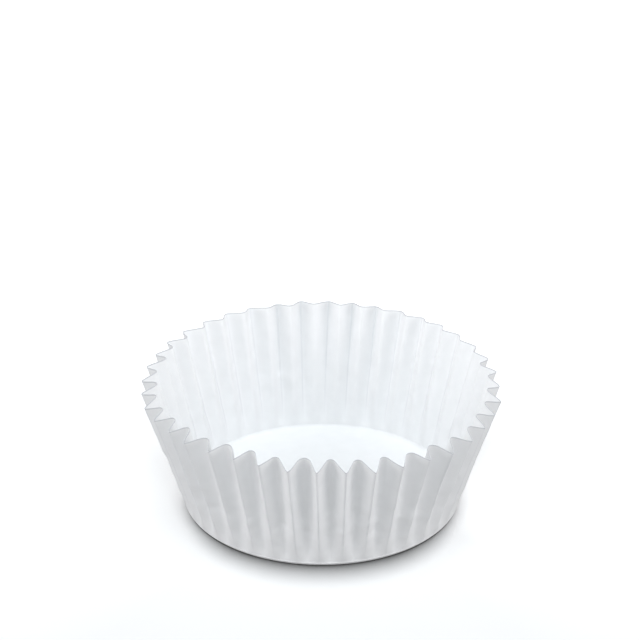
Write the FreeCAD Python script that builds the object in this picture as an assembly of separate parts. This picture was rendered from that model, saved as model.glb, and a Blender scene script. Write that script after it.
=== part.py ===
# A white paper cupcake liner: one thin disc of paper, pressed into a cup.
# The middle of the disc stays flat and is the floor of the cup. The rest leans outwards as the wall.
# The wall has more paper than its own circle needs, so it stands in flutes: sharp folds point
# outwards and round ones inwards. They fade out at the floor and are deepest at the rim.
# Lengths are in millimetres and +Z is up. The origin is the centre of the floor's underside.

import FreeCAD, Part
import math
import os

from FreeCAD import Vector

# Driving dimensions
base_diameter = 50.0    # across the cup where the wall starts, at mid paper
wall_length = 23.8      # paper from the start of the wall to the rim
wall_lean = 17.8        # degrees that the outward folds lean out from upright
flute_count = 40
groove_radius = 0.95    # of the round inward folds, at mid paper
bend_radius = 0.6       # between the floor and the wall, at mid paper
paper_thickness = 0.08

# Rings of section that the paper is laid over, from the floor's edge to the rim
bend_bands = 3                  # narrow bands that make the bend
wall_shares = (0.1, 0.38, 1)    # of the wall's length
foot_flank_share = 0.75         # of half a flute's width, where the flutes have faded out

base_radius = base_diameter / 2
lean = math.radians(wall_lean)
half_flute = math.pi / flute_count
skin = paper_thickness / 2
bend_turn = math.pi / 2 - lean
floor_radius = base_radius - bend_radius * math.sin(bend_turn)
bend_centre_z = skin + bend_radius
foot_z = bend_centre_z - bend_radius * math.cos(bend_turn)
OUTER, INNER = 1, -1    # the faces of the paper, seen from the middle of the cup
CENTRE = Vector(0, 0, 0)
UP = Vector(0, 0, 1)


def polar(radius, angle, z=0.0):
    return Vector(radius * math.cos(angle), radius * math.sin(angle), z)


def mirrored(point):
    """The same point across the inward fold, which lies above the X axis."""
    return Vector(point.x, -point.y, point.z)


def fold_lines(paper):
    """Radius and height of an outward and an inward fold, this much paper above the wall's foot.
    A flute is as deep as the spare paper of its ring makes it. Both folds are as long as the paper,
    so the inward one, which stands more upright, ends higher."""
    crest = base_radius + paper * math.sin(lean)
    groove = crest - half_flute * math.sqrt((base_radius + paper) ** 2 - crest**2)
    crest_z = foot_z + paper * math.cos(lean)
    groove_z = foot_z + math.sqrt(paper**2 - (groove - base_radius) ** 2)
    return crest, crest_z, groove, groove_z


def wall_ring(paper, side):
    """Half a flute on one face of the paper: the outward fold, the end of the straight flank, and the
    middle of the inward fold's arc, which the flank touches. Thickness is laid off level."""
    crest, crest_z, groove, groove_z = fold_lines(paper)
    fold = polar(crest, half_flute)
    arc_centre = polar(groove + groove_radius, 0)
    reach = arc_centre - fold
    flank_length = math.sqrt(reach.Length**2 - groove_radius**2)
    flank_angle = math.atan2(reach.y, reach.x) - math.asin(groove_radius / reach.Length)
    flank_end = fold + polar(flank_length, flank_angle)
    outward = (arc_centre - flank_end) / groove_radius
    lift = (groove_z - crest_z) * (crest - flank_end.Length) / (crest - groove)
    corner = skin / abs(math.sin(flank_angle - half_flute))
    return (
        polar(crest + side * corner, half_flute, crest_z),
        flank_end + outward * side * skin + UP * (crest_z + lift),
        polar(groove + side * skin, 0, groove_z),
    )


def bend_ring(band, side):
    """The same three points on a circle of the bend, where the flutes have faded out."""
    turn = bend_turn * band / bend_bands
    reach = bend_radius + side * skin
    radius = floor_radius + reach * math.sin(turn)
    z = bend_centre_z - reach * math.cos(turn)
    return tuple(polar(radius, half_flute * share, z) for share in (1, 1 - foot_flank_share, 0))


def ring_edges(ring):
    """One flute of a ring: flank, inward fold and flank."""
    crest, flank_end, groove = ring
    return [
        Part.LineSegment(crest, flank_end).toShape(),
        Part.Arc(flank_end, groove, mirrored(flank_end)).toShape(),
        Part.LineSegment(mirrored(flank_end), mirrored(crest)).toShape(),
    ]


def paper_between(lower, upper):
    """The faces of one flute between two rings: two flat facets for each flank, and the inward fold."""
    facets = [(lower[0], upper[0], upper[1]), (lower[0], upper[1], lower[1])]
    facets += [tuple(mirrored(corner) for corner in facet) for facet in facets]
    flanks = [Part.Face(Part.makePolygon([*facet, facet[0]])) for facet in facets]
    return flanks + [Part.makeRuledSurface(ring_edges(lower)[1], ring_edges(upper)[1])]


def paper_rings(side):
    """Every ring on one face of the paper, from the floor's edge to the rim."""
    rings = [bend_ring(band, side) for band in range(bend_bands + 1)]
    return rings + [wall_ring(wall_length * share, side) for share in wall_shares]


def all_round(flute):
    turns = [math.degrees(half_flute * (2 * i + 1)) for i in range(flute_count)]
    return [shape.rotated(CENTRE, UP, turn) for turn in turns for shape in flute]


def make_liner():
    flute, floors, rims = [], [], []
    for side in (OUTER, INNER):
        rings = paper_rings(side)
        for lower, upper in zip(rings, rings[1:]):
            flute += paper_between(lower, upper)
        floor_edge = Part.sortEdges(all_round(ring_edges(rings[0])))[0]
        floors.append(Part.Face(Part.Wire(floor_edge)))
        rims.append(ring_edges(rings[-1]))
    flute += [Part.makeRuledSurface(*edges) for edges in zip(*rims)]
    paper = Part.Compound(all_round(flute) + floors)
    paper.sewShape()
    return Part.Solid(paper.Shells[0])


os.makedirs("parts", exist_ok=True)
liner = make_liner()
liner.exportStep("parts/liner.step")
print("liner valid", liner.isValid(), "volume", round(liner.Volume, 1), liner.BoundBox)
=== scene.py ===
# A white paper cupcake liner, made from one flat disc of paper that is pressed into a cup.
# The disc keeps its length in the fluted wall, as paper does, and then gets its thickness.
# Handling has left the flutes uneven and the rim a little out of round and out of level.
# Lengths are in metres and +Z is up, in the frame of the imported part.

import math
import random

import bmesh
import bpy
from mathutils import Matrix, Vector, noise


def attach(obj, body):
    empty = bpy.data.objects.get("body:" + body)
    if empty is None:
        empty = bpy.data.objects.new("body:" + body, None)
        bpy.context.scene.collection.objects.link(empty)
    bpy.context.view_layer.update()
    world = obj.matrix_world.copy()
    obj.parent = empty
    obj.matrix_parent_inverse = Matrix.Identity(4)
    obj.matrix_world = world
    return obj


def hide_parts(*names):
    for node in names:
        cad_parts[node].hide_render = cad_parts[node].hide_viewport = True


MM = 0.001

# The liner's sizes, as in the part's source
BASE_RADIUS = 25 * MM
WALL_LENGTH = 23.8 * MM
WALL_LEAN = math.radians(17.8)
FLUTES = 40
BEND_RADIUS = 0.6 * MM
PAPER = 0.08 * MM

# What follows from them
HALF_FLUTE = math.pi / FLUTES
BEND_TURN = math.pi / 2 - WALL_LEAN
FLOOR_RADIUS = BASE_RADIUS - BEND_RADIUS * math.sin(BEND_TURN)
BEND_LENGTH = BEND_RADIUS * BEND_TURN
BEND_CENTRE = PAPER / 2 + BEND_RADIUS
FOOT_Z = BEND_CENTRE - BEND_RADIUS * math.cos(BEND_TURN)
DISC_RADIUS = FLOOR_RADIUS + BEND_LENGTH + WALL_LENGTH

# The form of a flute
GROOVE_RADIUS = 1.35 * MM             # of the round inward folds, which the solid has tighter
FOLD_ROUNDING = 0.18 * MM             # of the sharp outward folds
FLANK_SHARE = 0.3                     # of that rounding, by which the flanks stand further out
FLUTES_START = 1.1 * MM               # paper over which the flutes rise from the foot
LEAST_SPARE = 0.04                    # of its width's square, where bunching would leave a flute none

# The mesh of the flat disc
STEPS_ACROSS = 16                     # of each flute
FLOOR_RINGS = (6, 12, 17, 21, 23.4)   # radii in mm
BEND_RINGS = 4
CREASE_RINGS = (0.08, 0.16, 0.24, 0.33)    # paper above the wall's foot, in mm
WALL_RINGS = 52
GATHERED = 0.7                        # how far the steps gather at the folds, from 0 to 1
SHARP_EDGE = math.radians(60)         # where the shading breaks, at the cut edge

# Waves round the wall: how many, how large, and their direction in degrees
BUNCHING = ((1, 1.4, 163), (2, 1.25, 59), (3, 1.0, 138))                        # degrees
OUT_OF_ROUND = ((0, 0.22, 0), (1, 0.38, -76), (2, 0.38, -177), (3, 0.5, -122))  # mm
DEEPER = ((0, -0.074, 0), (1, 0.146, -110), (2, 0.103, -137), (4, 0.05, 0))     # share of the depth
SOFTENED = ((0, 0.45, 0), (1, 0.4, 100))    # how far a fold has opened into a wave, from 0 to 1
RIM_TILT = -0.015                     # the +X side of the rim sits lower
RIM_GROWTH = 1.5                      # power by which the rim's shape grows up the wall

# How much one flute may differ from the next
FOLD_SHIFT = 0.45                     # degrees
FOLD_REACH = 0.22                     # mm
FOLD_HEIGHT = 0.12                    # mm
GROOVE_DEPTHS = (0.9, 1.08)           # times the depth that the spare paper gives
GROOVE_PLACE = 0.07                   # share of the flute's width
GROOVE_SIZES = (0.75, 1.25)           # times the groove's radius

# Dents: patches round the wall, the paper that a patch is long, and where the noise starts
STREAKS = (26, 22 * MM, 0)
DENTS = (9, 3.2 * MM, 40)
SMALL_DENTS = (19, 1.5 * MM, 80)
STREAK_DEPTH = 0.08 * MM
DENT_DEPTH = 0.05 * MM                # all over the wall
LOW_DENT_DEPTH = 0.14 * MM            # added where the wall was squeezed
SQUEEZED = (0.38, 0.26)               # middle and half width of that band, as shares of the wall
DENTS_START = 0.08                    # share of the wall over which the dents begin
FOOT_CREASE = 0.08 * MM               # how far the pressed crease at the wall's foot stands proud
CREASE_AT = 0.15 * MM                 # paper above the foot
CREASE_WIDTH = 0.08 * MM

# The floor rises in the middle, where nothing holds it down
FLOOR_DOME = 0.22 * MM
FLOOR_RIPPLE = 0.06 * MM
RIPPLE_SIZE = 9 * MM

# The paper's look, in mm on the flat sheet
SHEET_WIDTH = 2 * DISC_RADIUS / MM
SHEET_MIDDLE = (SHEET_WIDTH / 2, SHEET_WIDTH / 2, 0)
CLOUD_SIZE = 2.4                      # of the thicker and thinner patches that its fibres settle in
FIBRE_SIZE = 0.35                     # about ten times the real one, so that it shows
FIBRE_STRETCH = 0.28                  # the fibres lie one way
FIBRE_RELIEF = 0.03 * MM
THIN_TONE, THICK_TONE = "F1F2F3", "F4F5F6"
FOLD_SHADE_TONE = "DCDDE0"                  # painted shade along an outward fold, in the recess that it makes inside the cup
FOLD_SHADE_WIDTH = 0.065                     # share of a flute's width, on each side of the fold
FOLD_SHADE_STRENGTH = 0.5
FOLD_SHADE_START, FOLD_SHADE_FULL = 26.0, 32.0  # radii on the sheet
EDGE_TONE = "D0D2D5"                  # the paper is drawn greyer towards the cut edge
EDGE_START, EDGE_FULL = 0.26, 0.1     # in from the rim

# The backdrop card and the liner's contact shadow on it
CARD_HALF_WIDTH = 3.0
SHADOW_BESIDE = 3 * MM                # how far the shadow reaches at the sides
SHADOW_IN_FRONT = 7.8 * MM
SKY_BEHIND = (0, 0.9, 0.44)           # where the light comes from that the wall hides
SHADOW_GATHERING = 1.34               # power that draws the shadow in under the wall
SHADOW_STRENGTH = 1.62
DARKEST = 0.12
FRONT_TONE, BACK_TONE = 0.94, 1.22    # over 1 the card is plain white
RIGHT_LIFT = 0.2                      # more tone at the right, where the photograph has no shadow
THROWN_NEAR, THROWN_FAR = 0.33, 0.5   # tones that light the liner, beside its foot and further away

# The photograph's view
VIEW_TARGET = Vector((0, 0, 12 * MM))
VIEW_DISTANCE = 419.6 * MM
VIEW_AZIMUTH = math.radians(0.93)
VIEW_ELEVATION = math.radians(29.11)
VIEW_PITCH = math.radians(26.27)
VIEW_YAW = math.radians(0.05)
LENS = 130.6

# Softboxes: power, softness, where they shine from in degrees round from the front and up, and colour
SOFTBOXES = {
    "overhead_softbox": (1.57, 55, 0, 69, "F4FBFF"),
    "left_softbox": (0.98, 38, -65, 16, "FFFCFD"),
    "right_softbox": (0.96, 38, 65, 16, "FFFCFD"),
}
STUDIO_FILL = 0.42                    # strength of the white studio, as the liner is lit by it

chance = random.Random(40)


def waves(terms, angle):
    return sum(size * math.cos(count * angle - math.radians(turn)) for count, size, turn in terms)


def linear(colour):
    """An sRGB hex value as a linear colour."""
    shares = [int(colour[i:i + 2], 16) / 255 for i in (0, 2, 4)]
    return [s / 12.92 if s <= 0.04045 else ((s + 0.055) / 1.055) ** 2.4 for s in shares] + [1.0]


# Uneven flutes: how each one differs from the next
fold_shifts = [math.radians(chance.uniform(-FOLD_SHIFT, FOLD_SHIFT)) for _ in range(FLUTES)]
fold_reaches = [chance.uniform(-FOLD_REACH, FOLD_REACH) * MM for _ in range(FLUTES)]
fold_heights = [chance.uniform(-FOLD_HEIGHT, FOLD_HEIGHT) * MM for _ in range(FLUTES)]
groove_depths = [chance.uniform(*GROOVE_DEPTHS) for _ in range(FLUTES)]
groove_places = [chance.uniform(-GROOVE_PLACE, GROOVE_PLACE) for _ in range(FLUTES)]
groove_sizes = [chance.uniform(*GROOVE_SIZES) for _ in range(FLUTES)]


def fold_angle(index, rise):
    """Angle of an outward fold, at this share of the wall's length."""
    even = 2 * HALF_FLUTE * index
    shift = math.radians(waves(BUNCHING, even)) + fold_shifts[index % FLUTES]
    return even + shift * rise


def fold_reach(index, paper, rise):
    """Radius and height of an outward fold."""
    angle = 2 * HALF_FLUTE * index
    swing = (waves(OUT_OF_ROUND, angle) * MM + fold_reaches[index % FLUTES]) * rise**RIM_GROWTH
    reach = BASE_RADIUS + paper * math.sin(WALL_LEAN) + swing
    height = FOOT_Z + math.sqrt(paper**2 - (reach - BASE_RADIUS) ** 2)
    return reach, height + fold_heights[index % FLUTES] * rise


def groove_form(across, half_width, depth, radius):
    """How far the wall stands out from the bottom of a groove, this far from its middle: along the
    groove's arc first, then up the straight flank, which rounds off at the outward fold."""
    reach = math.hypot(half_width, depth - radius)
    flank = math.asin(min(1, radius / reach)) - math.atan2(radius - depth, half_width)
    touch = radius * math.sin(flank)
    if across < touch:
        return radius - math.sqrt(radius**2 - across**2)
    to_fold = half_width - across
    rounded = math.sqrt(to_fold**2 + FOLD_ROUNDING**2) - FOLD_ROUNDING * FLANK_SHARE
    return depth - rounded * math.tan(flank)


def wall_point(flute, share, paper):
    """A point of the fluted wall: its flute, its share of the way across, and its paper above the foot.
    A flute is as deep as the spare paper of its ring makes it."""
    rise = paper / WALL_LENGTH
    start, end = fold_angle(flute, rise), fold_angle(flute + 1, rise)
    first, first_z = fold_reach(flute, paper, rise)
    second, second_z = fold_reach(flute + 1, paper, rise)
    angle = start + (end - start) * share
    crest = first + (second - first) * share
    crest_z = first_z + (second_z - first_z) * share
    half_width = crest * (end - start) / 2
    flat_width = HALF_FLUTE * (BASE_RADIUS + paper)
    spare = max(flat_width**2 - half_width**2, LEAST_SPARE * flat_width**2 * rise)
    depth = math.sqrt(spare) * (1 + (groove_depths[flute] - 1 + waves(DEEPER, angle)) * rise)
    depth *= 1 - math.exp(-paper / FLUTES_START)
    middle = 0.5 + groove_places[flute] * rise
    side = share / middle if share < middle else (1 - share) / (1 - middle)
    radius = GROOVE_RADIUS * groove_sizes[flute]
    fold_shade = groove_form(half_width * (1 - side), half_width, depth, radius)
    opened = depth * (1 + math.cos(math.pi * side)) / 2
    out = fold_shade + (opened - fold_shade) * waves(SOFTENED, angle)
    groove = crest - depth
    groove_z = FOOT_Z + math.sqrt(max(paper**2 - (groove - BASE_RADIUS) ** 2, 0))
    height = groove_z + (crest_z - groove_z) * out / max(depth, 1e-6)
    reach = groove + out
    height += RIM_TILT * reach * math.cos(angle) * rise**RIM_GROWTH
    return Vector((reach * math.cos(angle), reach * math.sin(angle), height))


def dented(pattern, angle, paper):
    """How far a pattern of dents pushes this place in or out, from about -1 to 1."""
    patches, length, start = pattern
    along = Vector((math.cos(angle), math.sin(angle), 0))
    return noise.noise(along * patches + Vector((0, 0, start + paper / length)))


def crumple(angle, paper):
    """How far handling has dented the wall at this place, with the crease at its foot."""
    rise = paper / WALL_LENGTH
    low = math.exp(-(((rise - SQUEEZED[0]) / SQUEEZED[1]) ** 2))
    dents = STREAK_DEPTH * dented(STREAKS, angle, paper)
    dents += (DENT_DEPTH + LOW_DENT_DEPTH * low) * dented(DENTS, angle, paper)
    dents += LOW_DENT_DEPTH * low * dented(SMALL_DENTS, angle, paper)
    crease = FOOT_CREASE * math.exp(-(((paper - CREASE_AT) / CREASE_WIDTH) ** 2))
    return crease + min(1, rise / DENTS_START) * dents


def pressed(flat):
    """Where pressing takes a point of the flat disc."""
    reach = flat.length
    angle = math.atan2(flat.y, flat.x) % (2 * math.pi)
    if reach <= FLOOR_RADIUS:
        dome = FLOOR_DOME * (1 - (reach / FLOOR_RADIUS) ** 2) ** 2
        ripple = FLOOR_RIPPLE * noise.noise(flat / RIPPLE_SIZE) * (1 - reach / FLOOR_RADIUS)
        return Vector((flat.x, flat.y, PAPER / 2 + dome + ripple))
    if reach <= FLOOR_RADIUS + BEND_LENGTH:
        turn = (reach - FLOOR_RADIUS) / BEND_RADIUS
        out = FLOOR_RADIUS + BEND_RADIUS * math.sin(turn)
        height = BEND_CENTRE - BEND_RADIUS * math.cos(turn)
        return Vector((out * math.cos(angle), out * math.sin(angle), height))
    paper = reach - FLOOR_RADIUS - BEND_LENGTH
    place = angle / (2 * HALF_FLUTE)
    flute = int(place) % FLUTES
    share = place - int(place)
    point = wall_point(flute, share, paper)
    outward = Vector((point.x, point.y, 0)).normalized()
    return point + outward * crumple(angle, paper)


def flat_disc():
    """The disc of paper as it was cut, with its steps gathered at the folds."""
    mesh = bmesh.new()
    steps = STEPS_ACROSS * FLUTES
    rings = [r * MM for r in FLOOR_RINGS] + [FLOOR_RADIUS]
    rings += [FLOOR_RADIUS + BEND_LENGTH * (i + 1) / BEND_RINGS for i in range(BEND_RINGS)]
    rings += [FLOOR_RADIUS + BEND_LENGTH + r * MM for r in CREASE_RINGS]
    rings += [DISC_RADIUS - WALL_LENGTH * (1 - (i + 1) / WALL_RINGS) for i in range(WALL_RINGS)]
    bmesh.ops.create_circle(mesh, cap_ends=True, cap_tris=True, segments=steps, radius=rings[0])
    edge = [e for e in mesh.edges if e.is_boundary]
    for inner, outer in zip(rings, rings[1:]):
        grown = bmesh.ops.extrude_edge_only(mesh, edges=edge)["geom"]
        corners = [g for g in grown if isinstance(g, bmesh.types.BMVert)]
        bmesh.ops.scale(mesh, verts=corners, vec=Vector((outer / inner, outer / inner, 1)))
        edge = [g for g in grown if isinstance(g, bmesh.types.BMEdge) and g.is_boundary]
    for vert in mesh.verts:
        place = math.atan2(vert.co.y, vert.co.x) / (2 * HALF_FLUTE)
        turn = -GATHERED * math.sin(4 * math.pi * place) / (4 * math.pi) * 2 * HALF_FLUTE
        vert.co.rotate(Matrix.Rotation(turn, 3, "Z"))
    return mesh


def as_object(mesh, name, material):
    """Puts a finished mesh into the scene, with its material."""
    made = bpy.data.meshes.new(name)
    mesh.to_mesh(made)
    mesh.free()
    made.materials.append(material)
    placed = bpy.data.objects.new(name, made)
    bpy.context.scene.collection.objects.link(placed)
    return placed


def make_liner():
    """The disc keeps its flat places in a UV map, for its look, and is then pressed and thickened."""
    mesh = flat_disc()
    sheet_map = mesh.loops.layers.uv.new("flat_sheet")
    for face in mesh.faces:
        for loop in face.loops:
            loop[sheet_map].uv = loop.vert.co.xy / (2 * DISC_RADIUS) + Vector((0.5, 0.5))
    for vert in mesh.verts:
        vert.co = pressed(vert.co)
    bmesh.ops.recalc_face_normals(mesh, faces=mesh.faces)
    mesh.normal_update()
    for vert in mesh.verts:
        vert.co += vert.normal * PAPER / 2
    bmesh.ops.solidify(mesh, geom=mesh.faces[:], thickness=PAPER)
    for face in mesh.faces:
        face.smooth = True
    for edge in mesh.edges:
        edge.smooth = edge.calc_face_angle(0) < SHARP_EDGE
    return as_object(mesh, "paper_liner", greaseproof_paper())


def add_node(tree, kind, inputs=(), **settings):
    """Adds a node with its settings, its values and its links."""
    made = tree.nodes.new(kind)
    for name, value in settings.items():
        setattr(made, name, value)
    for socket, value in inputs:
        if isinstance(value, bpy.types.NodeSocket):
            tree.links.new(value, made.inputs[socket])
        else:
            made.inputs[socket].default_value = value
    return made


def greaseproof_paper():
    """Bleached greaseproof baking paper, calendered smooth: a cloudy white with a faint sheen. It has
    painted shade along each outward fold, and is greyer where the edge was cut."""
    material = bpy.data.materials.new("bleached_greaseproof_paper")
    material.use_nodes = True
    tree = material.node_tree
    tree.nodes.clear()
    sheet = add_node(tree, "ShaderNodeUVMap", uv_map="flat_sheet")
    sheet_mm = add_node(tree, "ShaderNodeVectorMath",
                        [(0, sheet.outputs[0]), ("Scale", SHEET_WIDTH)], operation="SCALE").outputs[0]

    # Clouds of thicker and thinner paper
    clouds = add_node(tree, "ShaderNodeTexNoise",
                      [("Vector", sheet_mm), ("Scale", 1 / CLOUD_SIZE), ("Detail", 3.0), ("Roughness", 0.6)])
    tone = add_node(tree, "ShaderNodeMapRange",
                    [("Value", clouds.outputs["Fac"]), ("From Min", 0.3), ("From Max", 0.7)])
    sheet_tone = add_node(tree, "ShaderNodeMix",
                          [(0, tone.outputs[0]), (6, linear(THIN_TONE)), (7, linear(THICK_TONE))],
                          data_type="RGBA")

    # Painted fold shade: each place's way round the sheet, counted in flutes, gives how far it is from a fold
    centred = add_node(tree, "ShaderNodeVectorMath",
                       [(0, sheet_mm), (1, SHEET_MIDDLE)], operation="SUBTRACT")
    across = add_node(tree, "ShaderNodeSeparateXYZ", [(0, centred.outputs[0])])
    turn = add_node(tree, "ShaderNodeMath",
                    [(0, across.outputs[1]), (1, across.outputs[0])], operation="ARCTAN2")
    flutes = add_node(tree, "ShaderNodeMath",
                      [(0, turn.outputs[0]), (1, FLUTES / (2 * math.pi))], operation="MULTIPLY")
    to_fold = add_node(tree, "ShaderNodeMath", [(0, flutes.outputs[0]), (1, 0.5)], operation="PINGPONG")
    fold = add_node(tree, "ShaderNodeMapRange",
                    [("Value", to_fold.outputs[0]), ("From Min", FOLD_SHADE_WIDTH), ("From Max", 0.0),
                     ("To Max", FOLD_SHADE_STRENGTH)], interpolation_type="SMOOTHSTEP")
    from_middle = add_node(tree, "ShaderNodeVectorMath",
                           [(0, sheet_mm), (1, SHEET_MIDDLE)], operation="DISTANCE").outputs["Value"]
    risen = add_node(tree, "ShaderNodeMapRange",
                     [("Value", from_middle), ("From Min", FOLD_SHADE_START), ("From Max", FOLD_SHADE_FULL)])
    # Painted shade along each outward fold, fading out towards the foot of the wall
    fold_shade = add_node(tree, "ShaderNodeMath",
                      [(0, fold.outputs[0]), (1, risen.outputs[0])], operation="MULTIPLY")
    fold_shaded = add_node(tree, "ShaderNodeMix",
                       [(0, fold_shade.outputs[0]), (6, sheet_tone.outputs[2]), (7, linear(FOLD_SHADE_TONE))],
                       data_type="RGBA")

    # The cut edge
    cut = add_node(tree, "ShaderNodeMapRange",
                   [("Value", from_middle), ("From Min", SHEET_WIDTH / 2 - EDGE_START),
                    ("From Max", SHEET_WIDTH / 2 - EDGE_FULL)])
    colour = add_node(tree, "ShaderNodeMix",
                      [(0, cut.outputs[0]), (6, fold_shaded.outputs[2]), (7, linear(EDGE_TONE))],
                      data_type="RGBA")

    # Relief of the fibres, and a sheen that follows the clouds
    stretch = add_node(tree, "ShaderNodeVectorMath",
                       [(0, sheet_mm), (1, (1.0, FIBRE_STRETCH, 1.0))], operation="MULTIPLY")
    fibres = add_node(tree, "ShaderNodeTexNoise",
                      [("Vector", stretch.outputs[0]), ("Scale", 1 / FIBRE_SIZE), ("Detail", 4.0),
                       ("Roughness", 0.7)])
    bump = add_node(tree, "ShaderNodeBump",
                    [("Strength", 0.25), ("Distance", FIBRE_RELIEF), ("Height", fibres.outputs["Fac"])])
    gloss = add_node(tree, "ShaderNodeMapRange",
                     [("Value", clouds.outputs["Fac"]), ("To Min", 0.52), ("To Max", 0.66)])
    paper = add_node(tree, "ShaderNodeBsdfPrincipled", [
        ("Base Color", colour.outputs[2]),
        ("Roughness", gloss.outputs[0]),
        ("IOR", 1.5),
        ("Specular IOR Level", 0.4),
        ("Normal", bump.outputs[0]),
    ])
    add_node(tree, "ShaderNodeOutputMaterial", [("Surface", paper.outputs[0])])
    return material


def seen_rays(tree):
    """One for rays that look at the ground or the background, zero for rays that light the liner."""
    path = add_node(tree, "ShaderNodeLightPath")
    looks = add_node(tree, "ShaderNodeMath",
                     [(0, path.outputs["Is Camera Ray"]), (1, path.outputs["Is Glossy Ray"])],
                     operation="MAXIMUM")
    return add_node(tree, "ShaderNodeMath",
                    [(0, looks.outputs[0]), (1, path.outputs["Is Transmission Ray"])],
                    operation="MAXIMUM").outputs[0]


def backdrop_card():
    """Matte white card: it looks plain white, and keeps the liner's soft shadow. Its directions are
    those from the liner's middle: beside is 1 at the right, and behind is -1 in front."""
    material = bpy.data.materials.new("white_backdrop_card")
    material.use_nodes = True
    tree = material.node_tree
    tree.nodes.clear()
    seen = seen_rays(tree)
    place = add_node(tree, "ShaderNodeTexCoord").outputs["Object"]
    direction = add_node(tree, "ShaderNodeVectorMath", [(0, place)], operation="NORMALIZE")
    shares = add_node(tree, "ShaderNodeSeparateXYZ", [(0, direction.outputs[0])])
    beside, behind = shares.outputs[0], shares.outputs[1]

    # What the wall hides of the sky behind it
    reach = add_node(tree, "ShaderNodeMapRange",
                     [("Value", behind), ("From Min", -0.5), ("From Max", -1.0),
                      ("To Min", SHADOW_BESIDE), ("To Max", SHADOW_IN_FRONT)])
    open_sky = add_node(tree, "ShaderNodeAmbientOcclusion",
                        [("Distance", reach.outputs[0]), ("Normal", SKY_BEHIND)], samples=16)
    hidden = add_node(tree, "ShaderNodeMath",
                      [(0, 1.0), (1, open_sky.outputs["AO"])], operation="SUBTRACT")
    gathered = add_node(tree, "ShaderNodeMath",
                        [(0, hidden.outputs[0]), (1, SHADOW_GATHERING)], operation="POWER")

    # The contact shadow is deepest in front, and never quite black
    depth = add_node(tree, "ShaderNodeMapRange",
                     [("Value", behind), ("From Min", 0.2), ("From Max", -0.85),
                      ("To Max", SHADOW_STRENGTH)])
    dark = add_node(tree, "ShaderNodeMath",
                    [(0, gathered.outputs[0]), (1, depth.outputs[0])], operation="MULTIPLY")
    left_over = add_node(tree, "ShaderNodeMath", [(0, 1.0), (1, dark.outputs[0])], operation="SUBTRACT")
    shade = add_node(tree, "ShaderNodeMath", [(0, left_over.outputs[0]), (1, DARKEST)], operation="MAXIMUM")

    # The card's own tone, which lifts the back and the right to plain white
    card_tone = add_node(tree, "ShaderNodeMapRange",
                         [("Value", behind), ("From Min", -0.8), ("From Max", 0.0),
                          ("To Min", FRONT_TONE), ("To Max", BACK_TONE)])
    right = add_node(tree, "ShaderNodeMapRange",
                     [("Value", beside), ("From Min", 0.86), ("From Max", 0.98), ("To Max", RIGHT_LIFT)])
    lifted = add_node(tree, "ShaderNodeMath",
                      [(0, card_tone.outputs[0]), (1, right.outputs[0])], operation="ADD")
    shown = add_node(tree, "ShaderNodeMath",
                     [(0, shade.outputs[0]), (1, lifted.outputs[0])], operation="MULTIPLY")

    # Rays that light the liner find a greyer card, most of all beside its foot
    away = add_node(tree, "ShaderNodeVectorMath", [(0, place)], operation="LENGTH")
    thrown_back = add_node(tree, "ShaderNodeMapRange",
                           [("Value", away.outputs["Value"]), ("From Min", BASE_RADIUS),
                            ("From Max", 2 * BASE_RADIUS), ("To Min", THROWN_NEAR), ("To Max", THROWN_FAR)])
    colour = add_node(tree, "ShaderNodeMix",
                      [(0, seen), (2, thrown_back.outputs[0]), (3, shown.outputs[0])], data_type="FLOAT")
    card = add_node(tree, "ShaderNodeBsdfDiffuse", [("Color", colour.outputs[0])])
    add_node(tree, "ShaderNodeOutputMaterial", [("Surface", card.outputs[0])])
    return material


def make_ground():
    """A large sheet of white backdrop card."""
    mesh = bmesh.new()
    bmesh.ops.create_grid(mesh, x_segments=1, y_segments=1, size=CARD_HALF_WIDTH)
    return as_object(mesh, "ground", backdrop_card())


def light_the_scene():
    """A white studio that is seen at full strength, and softboxes overhead and on both sides."""
    world = bpy.data.worlds.new("white_studio")
    bpy.context.scene.world = world
    world.use_nodes = True
    tree = world.node_tree
    tree.nodes.clear()
    strength = add_node(tree, "ShaderNodeMix",
                        [(0, seen_rays(tree)), (2, STUDIO_FILL), (3, 1.0)], data_type="FLOAT")
    sky = add_node(tree, "ShaderNodeBackground",
                   [("Color", (1, 1, 1, 1)), ("Strength", strength.outputs[0])])
    add_node(tree, "ShaderNodeOutputWorld", [("Surface", sky.outputs[0])])
    for name, (power, softness, round_from_front, up, colour) in SOFTBOXES.items():
        light = bpy.data.lights.new(name, "SUN")
        light.energy = power
        light.color = linear(colour)[:3]
        light.angle = math.radians(softness)
        lamp = bpy.data.objects.new(name, light)
        lamp.rotation_euler = (math.radians(90 - up), 0, math.radians(round_from_front))
        bpy.context.scene.collection.objects.link(lamp)


def place_camera():
    data = bpy.data.cameras.new("photo_view")
    data.sensor_width = 36
    data.lens = LENS
    data.clip_start = 0.01
    data.clip_end = 20
    camera = bpy.data.objects.new("photo_view", data)
    level = math.cos(VIEW_ELEVATION)
    back = Vector((math.sin(VIEW_AZIMUTH) * level, -math.cos(VIEW_AZIMUTH) * level, math.sin(VIEW_ELEVATION)))
    camera.location = VIEW_TARGET + back * VIEW_DISTANCE
    camera.rotation_euler = (math.pi / 2 - VIEW_PITCH, 0, VIEW_AZIMUTH + VIEW_YAW)
    bpy.context.scene.collection.objects.link(camera)
    bpy.context.scene.camera = camera


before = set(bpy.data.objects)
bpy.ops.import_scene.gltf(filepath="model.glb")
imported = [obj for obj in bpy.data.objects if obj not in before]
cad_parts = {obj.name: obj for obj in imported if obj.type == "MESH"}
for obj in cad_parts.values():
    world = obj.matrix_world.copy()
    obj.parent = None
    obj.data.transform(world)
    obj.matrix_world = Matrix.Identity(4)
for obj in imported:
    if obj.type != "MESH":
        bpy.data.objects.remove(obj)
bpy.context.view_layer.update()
place_camera()
liner = make_liner()
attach(liner, "root")
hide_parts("liner")
make_ground()
light_the_scene()
bpy.context.scene.view_settings.view_transform = "Standard"
